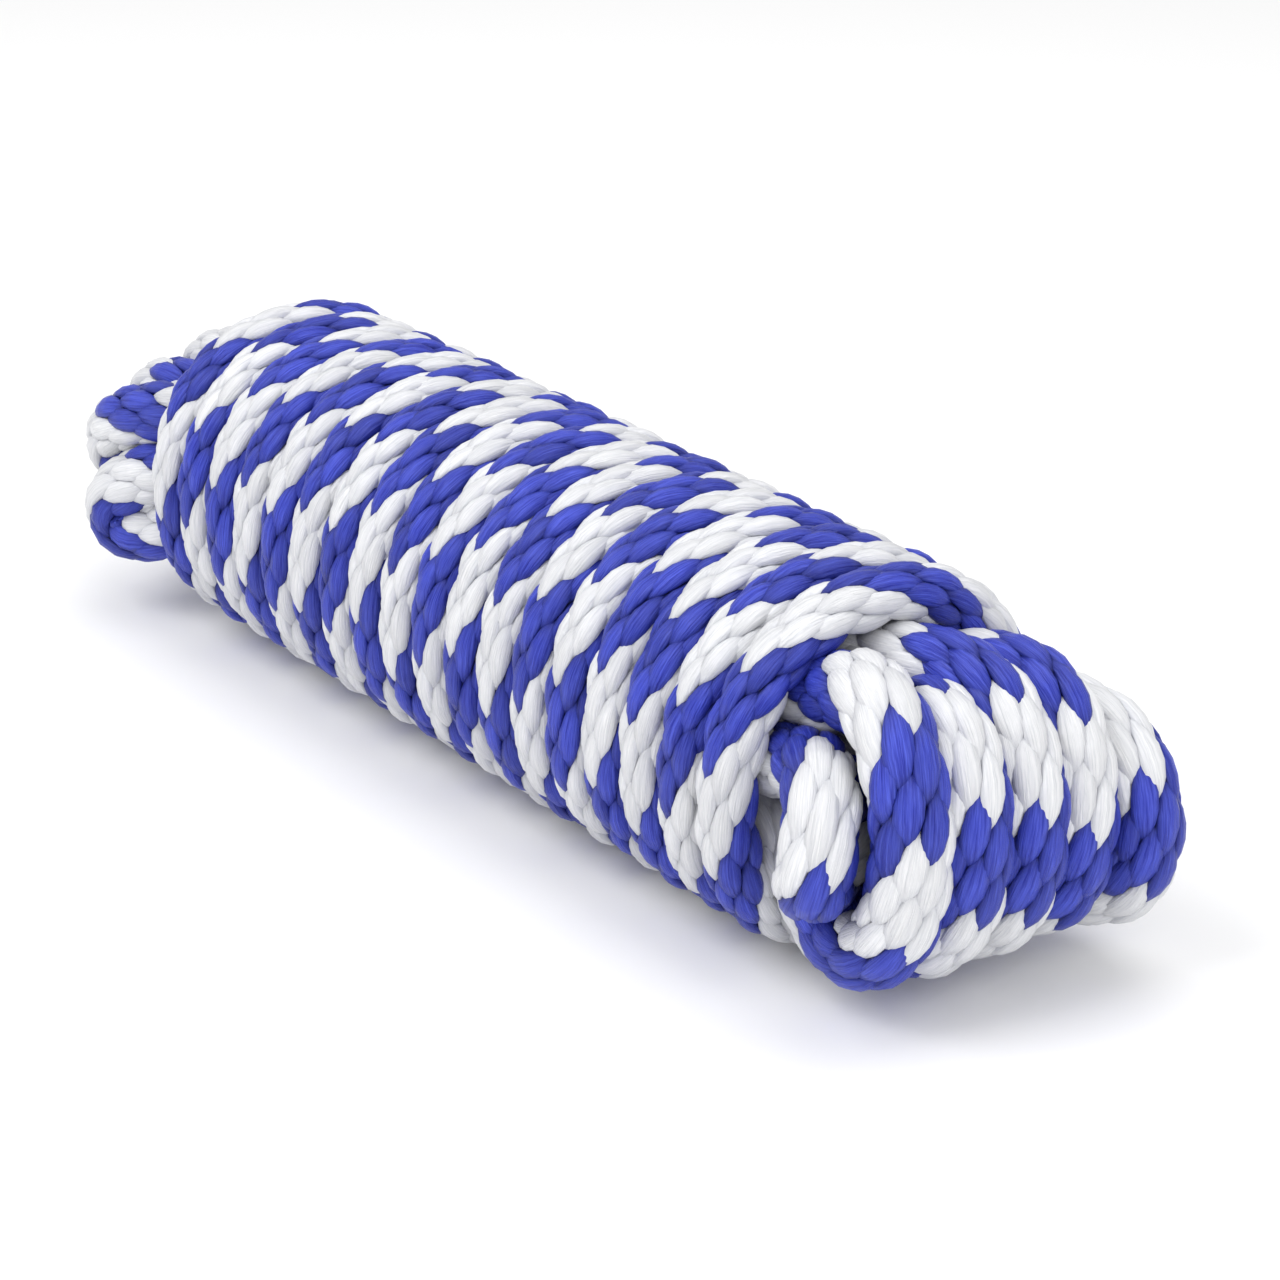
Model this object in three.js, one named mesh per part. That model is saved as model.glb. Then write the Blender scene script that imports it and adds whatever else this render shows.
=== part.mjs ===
// Coiled dock line: one length of solid-braid rope folded back and forth into a bundle, with the last of it
// wound round the bundle's waist. Millimetres, +X along the hank towards the end that the winding finishes at,
// +Z up, resting on z = 0.
import * as THREE from 'three';

// ---- sizes
const ROPE_D = 9.5;            // rope diameter (3/8 in)
const GAP = 0.3;               // clearance between touching stretches of rope
const TURNS = 18;              // turns of the winding seen from the side
const SQUEEZE = 0.15;          // how much a folded run inside the winding is squeezed
const RUN_D = ROPE_D - SQUEEZE;
const LOOP_D = 0.94 * ROPE_D;  // a free loop, across the corners of its section
const OVAL = 1.04;             // height of the hank's section over its width
const SQUARENESS = 2.2;        // exponent of the section's superellipse, 2 is an ellipse
const CLEARANCE = 0.2;         // play between the folded runs and the winding
const FRONT_SPREAD = 1;        // scales how far the loops stand out at the +X end
const REAR_SPREAD = 1;         // and at the other end
const WALES = 8;               // sides of the simplified rope section
const RUN_SIDES = 12;
const STEPS = 26;              // straight pieces in one turn of the winding

// Everything below is worked out in lays: one lay is the winding's pitch.
const LAY = ROPE_D + GAP;
const BLUE = 0x434cac, WHITE = 0xdedfe2, SEALED = 0xb9bcc6;

// ---- the bundle: three runs in the middle, nine round them
const runCorner = RUN_D / Math.cos(Math.PI / RUN_SIDES);
const innerR = (runCorner + GAP) / Math.sqrt(3) / LAY;
const outerR = innerR + (runCorner + GAP) / LAY;
const at = (r, deg) => [r * Math.cos(deg * Math.PI / 180), r * OVAL * Math.sin(deg * Math.PI / 180)];
const outer = (deg) => ({ yz: at(outerR, deg), inside: false });
const inner = (deg) => ({ yz: at(innerR, deg), inside: true });
// the upper and lower run that each front loop joins, from the near side to the far side
const TOP = [outer(170), outer(130), inner(110), outer(90), outer(50), outer(10)];
const LOW = [inner(230), outer(210), outer(250), outer(290), inner(350), outer(330)];

// ---- the winding
const halfY = outerR + (runCorner / 2 + GAP + CLEARANCE + ROPE_D / 2) / LAY;
const halfZ = halfY * OVAL;
const xFront = TURNS / 2 - 0.5, xRear = xFront - TURNS;
// in turns: whole numbers are at the bottom, quarters at the near side
const START = -0.5 / STEPS, END = TURNS - 0.34;
function woundPoint(t) {
  const a = -Math.PI / 2 - 2 * Math.PI * t, c = Math.cos(a), s = Math.sin(a), e = 2 / SQUARENESS;
  const bulge = (v, half) => Math.sign(v) * half * Math.abs(v) ** e;
  return new THREE.Vector3(xRear + t, bulge(c, halfY), bulge(s, halfZ));
}
function woundNormal(t) {                    // square to the section's outline, across the hank
  const d = woundPoint(t + 1e-4).sub(woundPoint(t - 1e-4));
  return new THREE.Vector3(0, d.z, -d.y).normalize().negate();
}

// ---- the loops, in lays: where the upper limb, the nose and the lower limb lie, how far the nose stands out
// y and z are given as shares of the winding's half width and half height
const loopShape = (yTop, yNose, yLow, reach, zTop, zNose, zLow) => ({ reach,
  yTop: yTop * halfY, yNose: yNose * halfY, yLow: yLow * halfY,
  zTop: zTop * halfZ, zNose: zNose * halfZ, zLow: zLow * halfZ });
const FRONT = [
  loopShape(-0.838, -1.062, -1.096, 1.85, 0.511, 0.113, -0.522),
  loopShape(-0.493, -0.637, -0.668, 2.58, 0.959, 0.186, -0.948),
  loopShape(-0.288, -0.247, -0.220, 2.81, 0.894, 0.197, -0.970),
  loopShape(0.330, 0.167, 0.163, 2.89, 0.824, 0.051, -0.934),
  loopShape(0.709, 0.527, 0.588, 2.89, 0.788, -0.004, -0.963),
  loopShape(0.933, 1.024, 1.066, 3.24, 0.576, -0.212, -0.908)];
const REAR = [
  loopShape(-1.062, -1.081, -1.005, 2.95, -0.182, -0.401, -0.679),
  loopShape(-0.994, -0.835, -0.607, 3.50, 0.328, 0.055, -0.547),
  loopShape(-0.577, -0.436, -0.228, 3.80, 0.540, 0.128, -0.638),
  loopShape(-0.114, -0.019, 0.171, 3.75, 0.675, 0.091, -0.711),
  loopShape(0.360, 0.436, 0.550, 3.55, 0.529, 0.036, -0.620)];
const mix = (a, b, f) => a + (b - a) * f;
const STUB = 1.2;                            // how far inside the winding a loop takes over from its run
// one limb, from its run to the loop's shoulder; a run from the middle of the bundle flares later
function limb(run, y, z, reach, lip) {
  const [ry, rz] = run.yz;
  const stage = run.inside
    ? [[-0.1, 0, 0], [0.45, 0.15, 0.18], [0.3 * reach, 0.62, 0.66], [0.52 * reach, 0.94, 0.97]]
    : [[-0.5, 0, 0], [0.2, 0.35, 0.48], [0.3 * reach, 0.86, 0.97]];
  return [[-STUB, ry, rz], ...stage.map(([x, fy, fz]) => [lip + x, mix(ry, y, fy), mix(rz, z, fz)])];
}
function loopGuide(top, low, s, spread, topLip, lowLip) {
  const r = s.reach * spread;
  return [...limb(top, s.yTop, s.zTop, r, topLip),
    [0.74 * r, mix(s.yTop, s.yNose, 0.3), mix(s.zTop, s.zNose, 0.25)],
    [0.95 * r, mix(s.yTop, s.yNose, 0.8), mix(s.zTop, s.zNose, 0.68)],
    [r, s.yNose, s.zNose],
    [0.94 * r, mix(s.yLow, s.yNose, 0.8), mix(s.zLow, s.zNose, 0.42)],
    [0.72 * r, mix(s.yLow, s.yNose, 0.3), mix(s.zLow, s.zNose, 0.10)],
    ...limb(low, s.yLow, s.zLow, r, lowLip).reverse()];
}
const ahead = ([x, y, z]) => new THREE.Vector3(xFront + x, y, z);
const behind = ([x, y, z]) => new THREE.Vector3(xRear - x, y, z);
const free = [];
FRONT.forEach((s, i) => free.push({ name: `front_loop_${i + 1}`, blue: i % 2 === 0,
  guide: loopGuide(TOP[i], LOW[i], s, FRONT_SPREAD, i === 5 ? 0.35 : 0.1, -0.25).map(ahead) }));
REAR.forEach((s, i) => free.push({ name: `rear_loop_${i + 1}`, blue: i % 2 === 1,
  guide: loopGuide(TOP[i], LOW[i + 1], s, REAR_SPREAD, 0.15, 0.5).map(behind) }));
// y and z given as shares of the winding's half width and half height
const sized = ([x, y, z]) => [x, y * halfY, z * halfZ];
// the last run comes out at the rear and turns under to start the winding
free.push({ name: 'lead_in', blue: true, guide: [
  ...[[-1.2, ...TOP[5].yz], [-0.4, ...TOP[5].yz]].map(behind),
  ...[[0.5, 0.683, 0.153], [1.3, 0.873, 0.073], [1.35, 1.043, -0.255], [0.85, 1.024, -0.584]]
    .map(sized).map(behind), woundPoint(START - 0.08), woundPoint(START)] });
// the winding's end is tucked through the eyes of the front loops
free.push({ name: 'tucked_tail', blue: false, guide: [woundPoint(END), woundPoint(END + 0.03),
  ...[[0.05, 1.130, -0.274], [0.70, 1.214, -0.401], [1.3, 0.986, -0.219],
    [1.5, 0.645, -0.036], [1.5, 0.266, 0], [1.45, -0.114, 0]].map(sized).map(ahead)] });

// ---- settle: stretches of rope lying too close push each other a rope's width apart
const SPACING = 0.3, ROUNDS = 200, APART = 1.04;
function even(curve) {
  curve.arcLengthDivisions = 600;
  return curve.getSpacedPoints(Math.max(8, Math.round(curve.getLength() / SPACING)));
}
const bars = [];
for (const run of [...TOP, ...LOW]) for (let k = 0; k < 6; k++) {
  bars.push(new THREE.Vector3(xFront - STUB - k * SPACING, ...run.yz));
  bars.push(new THREE.Vector3(xRear + STUB + k * SPACING, ...run.yz));
}
for (let k = 0; k < 5; k++) bars.push(new THREE.Vector3(xRear - 0.1 + k * SPACING, ...LOW[0].yz));
const wound = [];
for (let t = START; t <= END; t += 1 / STEPS) wound.push(woundPoint(t));
for (const f of free) {
  f.points = even(new THREE.CatmullRomCurve3(f.guide, false, 'centripetal'));
  const tips = [f.points[0].clone(), f.points.at(-1).clone()];
  const joinsWinding = f.name === 'lead_in' || f.name === 'tucked_tail';
  const nearTip = (p) => tips.filter((e) => p.distanceTo(e) < 2.2);
  f.fixed = f.points.map((p) => {
    const tip = nearTip(p), own = (q) => tip.some((e) => q.distanceTo(e) < 2.2);
    return [...bars.filter((q) => !own(q)), ...wound.filter((q) => !(joinsWinding && own(q)))];
  });
  const n = f.points.length;
  f.loose = f.points.map((p, i) => Math.min(1, Math.max(0, (Math.min(i, n - 1 - i) - 1) / 4)));
  if (f.name === 'tucked_tail') f.loose = f.points.map((p, i) => Math.min(1, Math.max(0, (i - 1) / 4)));
}
function pushFrom(p, others, share) {
  const out = new THREE.Vector3(), d = new THREE.Vector3(); let n = 0;
  for (const q of others) {
    const r2 = d.subVectors(p, q).lengthSq();
    if (r2 > APART * APART || r2 < 1e-9) continue;
    const r = Math.sqrt(r2);
    out.addScaledVector(d, (APART - r) / r * share);
    n++;
  }
  return n ? out.divideScalar(n) : out;
}
for (let round = 0; round < ROUNDS; round++) {
  const moves = free.map((f, a) => f.points.map((p, i) => {
    const own = f.points.filter((q, j) => Math.abs(i - j) * SPACING > 2.4);
    const near = free.flatMap((g, b) => (b === a ? own : g.points));
    return pushFrom(p, near, 0.5).add(pushFrom(p, f.fixed[i], 1)).multiplyScalar(0.6 * f.loose[i]);
  }));
  free.forEach((f, a) => {
    f.points.forEach((p, i) => p.add(moves[a][i]));
    const zero = new THREE.Vector3(), n = f.points.length;
    const bend = (list, i) => (i < 1 || i > n - 2 ? zero.clone()
      : list[i - 1].clone().add(list[i + 1]).multiplyScalar(0.5).sub(list[i]));
    const lap = f.points.map((p, i) => bend(f.points, i)), bi = lap.map((p, i) => bend(lap, i));
    f.points.forEach((p, i) => p.addScaledVector(lap[i], 0.06 * f.loose[i])
      .addScaledVector(bi[i], -0.45 * f.loose[i]));
  });
}

// ---- solids: a rope section carried from ring to ring
class Rings extends THREE.Curve {
  constructor(points, normals, binormals) { super(); Object.assign(this, { points, normals, binormals }); }
  getPoint(t) { return this.points[Math.round(t * (this.points.length - 1))].clone(); }
  getSpacedPoints() { return this.points.map((p) => p.clone()); }
  computeFrenetFrames() { return { tangents: this.points, normals: this.normals, binormals: this.binormals }; }
}
function section(sides, cornerR) {           // flats face the section's own x and y
  const s = new THREE.Shape();
  for (let k = 0; k < sides; k++) {
    const a = (k + 0.5) * 2 * Math.PI / sides, p = [cornerR * Math.cos(a), cornerR * Math.sin(a)];
    if (k) s.lineTo(...p); else s.moveTo(...p);
  }
  return s.closePath();
}
const group = new THREE.Group();
group.name = 'coiled_dock_line';
function add(name, geometry, colour, roughness = 0.55) {
  const material = new THREE.MeshStandardMaterial({ color: colour, roughness, metalness: 0 });
  const mesh = new THREE.Mesh(geometry, material);
  mesh.name = name; group.add(mesh); return mesh;
}
const millimetres = (p) => p.clone().multiplyScalar(LAY);
function tube(path, steps, shape) {
  return new THREE.ExtrudeGeometry(shape, { steps, extrudePath: path, bevelEnabled: false });
}
const X = new THREE.Vector3(1, 0, 0), Y = new THREE.Vector3(0, 1, 0), Z = new THREE.Vector3(0, 0, 1);

const ropeShape = section(WALES, ROPE_D / 2 / Math.cos(Math.PI / WALES));
const halfGap = GAP / 2 / (2 * Math.PI * (halfY + halfZ) / 2 * LAY);
for (let k = 0; k < TURNS; k++) {
  const ts = [];
  for (let j = 0; j <= STEPS; j++) ts.push(k - 0.25 + j / STEPS);
  const inRange = ts.filter((t) => t > START + 0.2 / STEPS && t < END - 0.2 / STEPS);
  if (k === 0) inRange.unshift(START); else inRange[0] += halfGap;
  if (k === TURNS - 1) inRange.push(END); else inRange[inRange.length - 1] -= halfGap;
  const centres = inRange.map((t) => millimetres(woundPoint(t)));
  const path = new Rings(centres, inRange.map(woundNormal), inRange.map(() => X));
  const number = String(k + 1).padStart(2, '0');
  add(`wrap_turn_${number}`, tube(path, inRange.length - 1, ropeShape), k % 2 ? WHITE : BLUE);
}

const runShape = section(RUN_SIDES, runCorner / 2);
function bar(name, x0, x1, [y, z], colour) {
  const ends = [x0, x1].map((x) => millimetres(new THREE.Vector3(x, y, z)));
  add(name, tube(new Rings(ends, [Y, Y], [Z, Z]), 1, runShape), colour);
}
const cut = GAP / LAY;
const SEAL = 0.35, INNER_END = xRear - 0.15;
[...TOP, ...LOW].forEach((run, i) => bar(`core_run_${String(i + 1).padStart(2, '0')}`,
  i === TOP.length ? INNER_END + SEAL : xRear + STUB + cut, xFront - STUB - cut, run.yz, i % 2 ? BLUE : WHITE));
bar('sealed_end_inner', INNER_END, INNER_END + SEAL - cut, LOW[0].yz, SEALED);

const loopShapeSection = section(WALES, LOOP_D / 2);
for (const f of free) {
  const curve = new THREE.CatmullRomCurve3(f.points, false, 'centripetal');
  curve.arcLengthDivisions = 800;
  const length = curve.getLength(), trim = 4 * cut / length;
  const from = trim, to = 1 - (f.name === 'tucked_tail' ? (SEAL + cut) / length : trim);
  const piece = (a, b, steps) => {
    const part = new THREE.CatmullRomCurve3(Array.from({ length: 4 * steps + 1 },
      (v, i) => millimetres(curve.getPointAt(a + (b - a) * i / (4 * steps)))), false, 'centripetal');
    return tube(part, steps, loopShapeSection);
  };
  add(f.name, piece(from, to, Math.max(10, Math.round(length * (to - from) * 1.7))), f.blue ? BLUE : WHITE);
  if (f.name === 'tucked_tail') add('sealed_end_outer', piece(1 - SEAL / length, 1, 2), SEALED);
}

// ---- stand it on z = 0, centred
const box = new THREE.Box3().setFromObject(group);
for (const mesh of group.children) {
  mesh.geometry.translate(-(box.min.x + box.max.x) / 2, -(box.min.y + box.max.y) / 2, -box.min.z);
}
export default group;
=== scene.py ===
"""Coiled dock line: a hank of blue and white solid-braid rope, with its braid, sealed ends and a plain studio."""
import math
from functools import partial

import bpy
import numpy as np
from bpy.props import FloatProperty, FloatVectorProperty, IntProperty, PointerProperty
from mathutils import Matrix, Vector


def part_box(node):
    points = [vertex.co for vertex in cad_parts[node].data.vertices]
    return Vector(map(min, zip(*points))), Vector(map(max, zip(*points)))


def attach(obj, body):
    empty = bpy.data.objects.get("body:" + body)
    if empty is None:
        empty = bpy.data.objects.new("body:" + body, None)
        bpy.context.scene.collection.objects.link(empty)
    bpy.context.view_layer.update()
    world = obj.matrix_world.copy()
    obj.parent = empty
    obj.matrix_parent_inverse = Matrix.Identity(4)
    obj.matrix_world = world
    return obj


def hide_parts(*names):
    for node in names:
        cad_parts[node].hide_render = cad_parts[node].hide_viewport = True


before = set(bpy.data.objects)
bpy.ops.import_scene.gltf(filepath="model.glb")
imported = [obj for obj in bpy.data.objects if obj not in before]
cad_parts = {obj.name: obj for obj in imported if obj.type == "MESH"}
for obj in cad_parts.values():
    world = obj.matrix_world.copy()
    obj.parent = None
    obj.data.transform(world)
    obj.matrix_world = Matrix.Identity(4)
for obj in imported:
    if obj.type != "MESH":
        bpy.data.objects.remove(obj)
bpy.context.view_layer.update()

bl_info = {
    "name": "Coiled Dock Line",
    "version": (1, 0, 0),
    "blender": (4, 5, 0),
    "location": "3D View > Sidebar > Dock Line",
    "description": "Builds a hanked solid-braid dock line on its packed frame",
    "category": "Add Mesh",
}

# ---- sizes of the rope and its hank, in millimetres and shares
ROPE_D = 9.5        # the rope
GAP = 0.3           # between neighbouring turns, and between neighbouring runs
TURNS = 18
SQUEEZE = 0.15      # how much thinner the folded runs are pressed
CLEARANCE = 0.2     # between the outer runs and the winding
OVAL = 1.04         # the winding's height over its width
SQUARENESS = 2.2    # 2 winds an ellipse, and more a squarer shape
RUN_SIDES = 12
RUN_D = ROPE_D - SQUEEZE
RUN_CORNER = RUN_D / math.cos(math.pi / RUN_SIDES)

# ---- the rope's route, in lays: one lay is the pitch of the winding, the rope's diameter and the gap beside it
LAY_MM = ROPE_D + GAP
INNER_R = (RUN_CORNER + GAP) / math.sqrt(3) / LAY_MM
OUTER_R = INNER_R + (RUN_CORNER + GAP) / LAY_MM
HALF_Y = OUTER_R + (RUN_CORNER / 2 + GAP + CLEARANCE + ROPE_D / 2) / LAY_MM
HALF_Z = HALF_Y * OVAL
X_FRONT = TURNS / 2 - 0.5
X_REAR = X_FRONT - TURNS
STEPS = 26                                # points round one turn
START, END = -0.5 / STEPS, TURNS - 0.34   # where the winding begins and ends, in turns
STUB = 1.2                                # how far inside the winding a loop joins its run
TOP_LIP, LOW_LIP = 0.1, -0.25             # how far out a front loop's limbs leave the winding
LAST_TOP_LIP = 0.35
REAR_TOP_LIP, REAR_LOW_LIP = 0.15, 0.5

# ---- how stretches of rope settle against each other, in lays
SPACING = 0.3                             # between a stretch's points
ROUNDS, LOOK_AGAIN = 200, 20              # rounds of pushing, and how many between searches for close pairs
APART = 1.04                              # the distance that two stretches are pushed to
NEAR_LOOSE, NEAR_FIXED = 1.9, 1.7         # pairs closer than this are watched
OWN_LENGTH = 2.4                          # a stretch doesn't push its own points this near along it
TIP_REACH = 2.2                           # nor do the runs and turns that its own tips join
BAR_POINTS = 6                            # points that stand for a run's end
PUSH, PULL, STIFFNESS = 0.6, 0.06, 0.45
TOUCHING = 3e-5                           # closer than this has no direction to push in
FINE_SPACING, EASING_ROUNDS = 0.1, 36     # for taking out the last small kinks


def run_at(radius, degrees, inside=False):
    """Where a folded run lies in the bundle, and whether it is one of the inner three."""
    a = math.radians(degrees)
    return radius * math.cos(a), radius * OVAL * math.sin(a), inside


TOP = [run_at(OUTER_R, 170), run_at(OUTER_R, 130), run_at(INNER_R, 110, True), run_at(OUTER_R, 90),
       run_at(OUTER_R, 50), run_at(OUTER_R, 10)]
LOW = [run_at(INNER_R, 230, True), run_at(OUTER_R, 210), run_at(OUTER_R, 250), run_at(OUTER_R, 290),
       run_at(INNER_R, 350, True), run_at(OUTER_R, 330)]
# y of the upper limb, nose and lower limb; how far the nose stands out; z of the same three. y and z are shares
# of the winding's half width and half height, and the near side comes first
FRONT = [(-0.838, -1.062, -1.096, 1.85, 0.511, 0.113, -0.522),
         (-0.493, -0.637, -0.668, 2.58, 0.959, 0.186, -0.948),
         (-0.288, -0.247, -0.220, 2.81, 0.894, 0.197, -0.970),
         (0.330, 0.167, 0.163, 2.89, 0.824, 0.051, -0.934),
         (0.709, 0.527, 0.588, 2.89, 0.788, -0.004, -0.963),
         (0.933, 1.024, 1.066, 3.24, 0.576, -0.212, -0.908)]
REAR = [(-1.062, -1.081, -1.005, 2.95, -0.182, -0.401, -0.679),
        (-0.994, -0.835, -0.607, 3.50, 0.328, 0.055, -0.547),
        (-0.577, -0.436, -0.228, 3.80, 0.540, 0.128, -0.638),
        (-0.114, -0.019, 0.171, 3.75, 0.675, 0.091, -0.711),
        (0.360, 0.436, 0.550, 3.55, 0.529, 0.036, -0.620)]
# how far out, y and z of the points that the lead-in and the tail pass through
LEAD = [(0.5, 0.683, 0.153), (1.3, 0.873, 0.073), (1.35, 1.043, -0.255), (0.85, 1.024, -0.584)]
TAIL = [(0.05, 1.130, -0.274), (0.70, 1.214, -0.401), (1.3, 0.986, -0.219), (1.5, 0.645, -0.036),
        (1.5, 0.266, 0), (1.45, -0.114, 0)]


def mix(a, b, f):
    return a + (b - a) * f


def wound_point(t):
    """The winding's centreline; whole turns are at the bottom and quarters at the near side."""
    a = -math.pi / 2 - 2 * math.pi * t
    c, s, e = math.cos(a), math.sin(a), 2 / SQUARENESS
    y, z = math.copysign(HALF_Y * abs(c) ** e, c), math.copysign(HALF_Z * abs(s) ** e, s)
    return np.array([X_REAR + t, y, z])


def limb(run, y, z, reach, lip):
    """From a folded run out to a loop's limb at y, z; an inner run comes out further before it spreads."""
    ry, rz, inside = run
    if inside:
        stages = [(-0.1, 0, 0), (0.45, 0.15, 0.18), (0.3 * reach, 0.62, 0.66), (0.52 * reach, 0.94, 0.97)]
    else:
        stages = [(-0.5, 0, 0), (0.2, 0.35, 0.48), (0.3 * reach, 0.86, 0.97)]
    return [(-STUB, ry, rz)] + [(lip + x, mix(ry, y, fy), mix(rz, z, fz)) for x, fy, fz in stages]


def loop_guide(top, low, shape, top_lip, low_lip):
    """Guide points from one run round the nose to the next."""
    yt, yn, yl = (v * HALF_Y for v in shape[:3])
    r, (zt, zn, zl) = shape[3], (v * HALF_Z for v in shape[4:])
    return (limb(top, yt, zt, r, top_lip)
            + [(0.74 * r, mix(yt, yn, 0.3), mix(zt, zn, 0.25)), (0.95 * r, mix(yt, yn, 0.8), mix(zt, zn, 0.68)),
               (r, yn, zn), (0.94 * r, mix(yl, yn, 0.8), mix(zl, zn, 0.42)),
               (0.72 * r, mix(yl, yn, 0.3), mix(zl, zn, 0.10))]
            + limb(low, yl, zl, r, low_lip)[::-1])


def ahead(points):
    return [(X_FRONT + x, y, z) for x, y, z in points]


def behind(points):
    return [(X_REAR - x, y, z) for x, y, z in points]


def sized(points):
    """y and z given as shares of the winding's half width and half height."""
    return [(x, y * HALF_Y, z * HALF_Z) for x, y, z in points]


def catmull(guide, per=12):
    """A centripetal curve through the guide points."""
    p = np.array(guide, float)
    p = np.vstack([2 * p[0] - p[1], p, 2 * p[-1] - p[-2]])
    out = []
    for i in range(1, len(p) - 2):
        p0, p1, p2, p3 = p[i - 1:i + 3]
        t0 = 0.0
        t1 = t0 + np.linalg.norm(p1 - p0) ** 0.5
        t2 = t1 + np.linalg.norm(p2 - p1) ** 0.5
        t3 = t2 + np.linalg.norm(p3 - p2) ** 0.5
        t = np.linspace(t1, t2, per, endpoint=False)[:, None]
        a1 = (t1 - t) / (t1 - t0) * p0 + (t - t0) / (t1 - t0) * p1
        a2 = (t2 - t) / (t2 - t1) * p1 + (t - t1) / (t2 - t1) * p2
        a3 = (t3 - t) / (t3 - t2) * p2 + (t - t2) / (t3 - t2) * p3
        b1 = (t2 - t) / (t2 - t0) * a1 + (t - t0) / (t2 - t0) * a2
        b2 = (t3 - t) / (t3 - t1) * a2 + (t - t1) / (t3 - t1) * a3
        out.append((t2 - t) / (t2 - t1) * b1 + (t - t1) / (t2 - t1) * b2)
    return np.vstack(out + [p[-2:-1]])


def lengths(p):
    return np.r_[0, np.cumsum(np.linalg.norm(np.diff(p, axis=0), axis=1))]


def resample(p, at):
    """Points of the line p at given lengths along it."""
    s = lengths(p)
    return np.stack([np.interp(at, s, p[:, k]) for k in range(3)], 1)


def even(p, step):
    """The same line with points about step apart."""
    total = lengths(p)[-1]
    return resample(p, np.linspace(0, total, max(8, round(total / step)) + 1))


def settle(curves):
    """Stretches of rope lying too close push each other a rope's width apart."""
    curves = [even(c, SPACING) for c in curves]
    # what stays put: the runs' ends, the rope's hidden start and the winding
    bars = []
    for y, z, _ in TOP + LOW:
        bars += [(X_FRONT - STUB - k * SPACING, y, z) for k in range(BAR_POINTS)]
        bars += [(X_REAR + STUB + k * SPACING, y, z) for k in range(BAR_POINTS)]
    bars += [(X_REAR - 0.1 + k * SPACING, LOW[0][0], LOW[0][1]) for k in range(BAR_POINTS - 1)]
    wound = np.array([wound_point(t) for t in np.arange(START, END + 1e-9, 1 / STEPS)])
    fixed = np.vstack([np.array(bars), wound])
    is_bar = np.arange(len(fixed)) < len(bars)
    # what moves: every stretch's points, less and less towards its tips; only the tail's own end is free
    own = np.concatenate([[k] * len(c) for k, c in enumerate(curves)])
    idx = np.concatenate([np.arange(len(c)) for c in curves])
    size = np.concatenate([[len(c)] * len(c) for c in curves])
    last = len(curves) - 1
    ends = np.where(own == last, idx, np.minimum(idx, size - 1 - idx))
    loose = np.clip((ends - 1) / 4, 0, 1)
    p = np.vstack(curves)
    same = (own[:, None] == own[None]) & (np.abs(idx[:, None] - idx[None]) * SPACING <= OWN_LENGTH)
    skip = np.zeros((len(p), len(fixed)), bool)
    for k, c in enumerate(curves):
        for tip in (c[0], c[-1]):
            near = (own == k) & (np.linalg.norm(p - tip, axis=1) < TIP_REACH)
            joined = (np.linalg.norm(fixed - tip, axis=1) < TIP_REACH) & (is_bar | (k >= last - 1))
            skip |= near[:, None] & joined[None]
    for turn in range(ROUNDS):
        if turn % LOOK_AGAIN == 0:
            d = np.linalg.norm(p[:, None] - p[None], axis=2)
            pa, pb = np.nonzero((d < NEAR_LOOSE) & ~same)
            d = np.linalg.norm(p[:, None] - fixed[None], axis=2)
            fa, fb = np.nonzero((d < NEAR_FIXED) & ~skip)
        move = np.zeros_like(p)
        for a, other, share in ((pa, p[pb], 0.5), (fa, fixed[fb], 1.0)):
            v = p[a] - other
            r = np.linalg.norm(v, axis=1)
            hit = (r < APART) & (r > TOUCHING)
            a, v, r = a[hit], v[hit], r[hit]
            part = np.zeros_like(p)
            np.add.at(part, a, v * ((APART - r) / r * share)[:, None])
            move += part / np.maximum(np.bincount(a, minlength=len(p)), 1)[:, None]
        p = p + move * (PUSH * loose)[:, None]
        # each stretch pulls itself a little straighter and resists a sudden change of bend
        for k in range(len(curves)):
            mine = own == k
            q = p[mine]
            bend = np.zeros_like(q)
            bend[1:-1] = (q[:-2] + q[2:]) / 2 - q[1:-1]
            change = np.zeros_like(q)
            change[1:-1] = (bend[:-2] + bend[2:]) / 2 - bend[1:-1]
            p[mine] = q + (bend * PULL - change * STIFFNESS) * loose[mine][:, None]
    return [p[own == k] for k in range(len(curves))]


def ease(p):
    """Takes the last small kinks out of a settled stretch; its ends stay."""
    p = even(p, FINE_SPACING)
    for _ in range(EASING_ROUNDS):
        p[2:-2] += 0.5 * ((p[1:-3] + p[3:-1]) / 2 - p[2:-2])
    return p


def run_line(run, x0, x1):
    return np.array([(x0, run[0], run[1]), (x1, run[0], run[1])])


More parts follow.
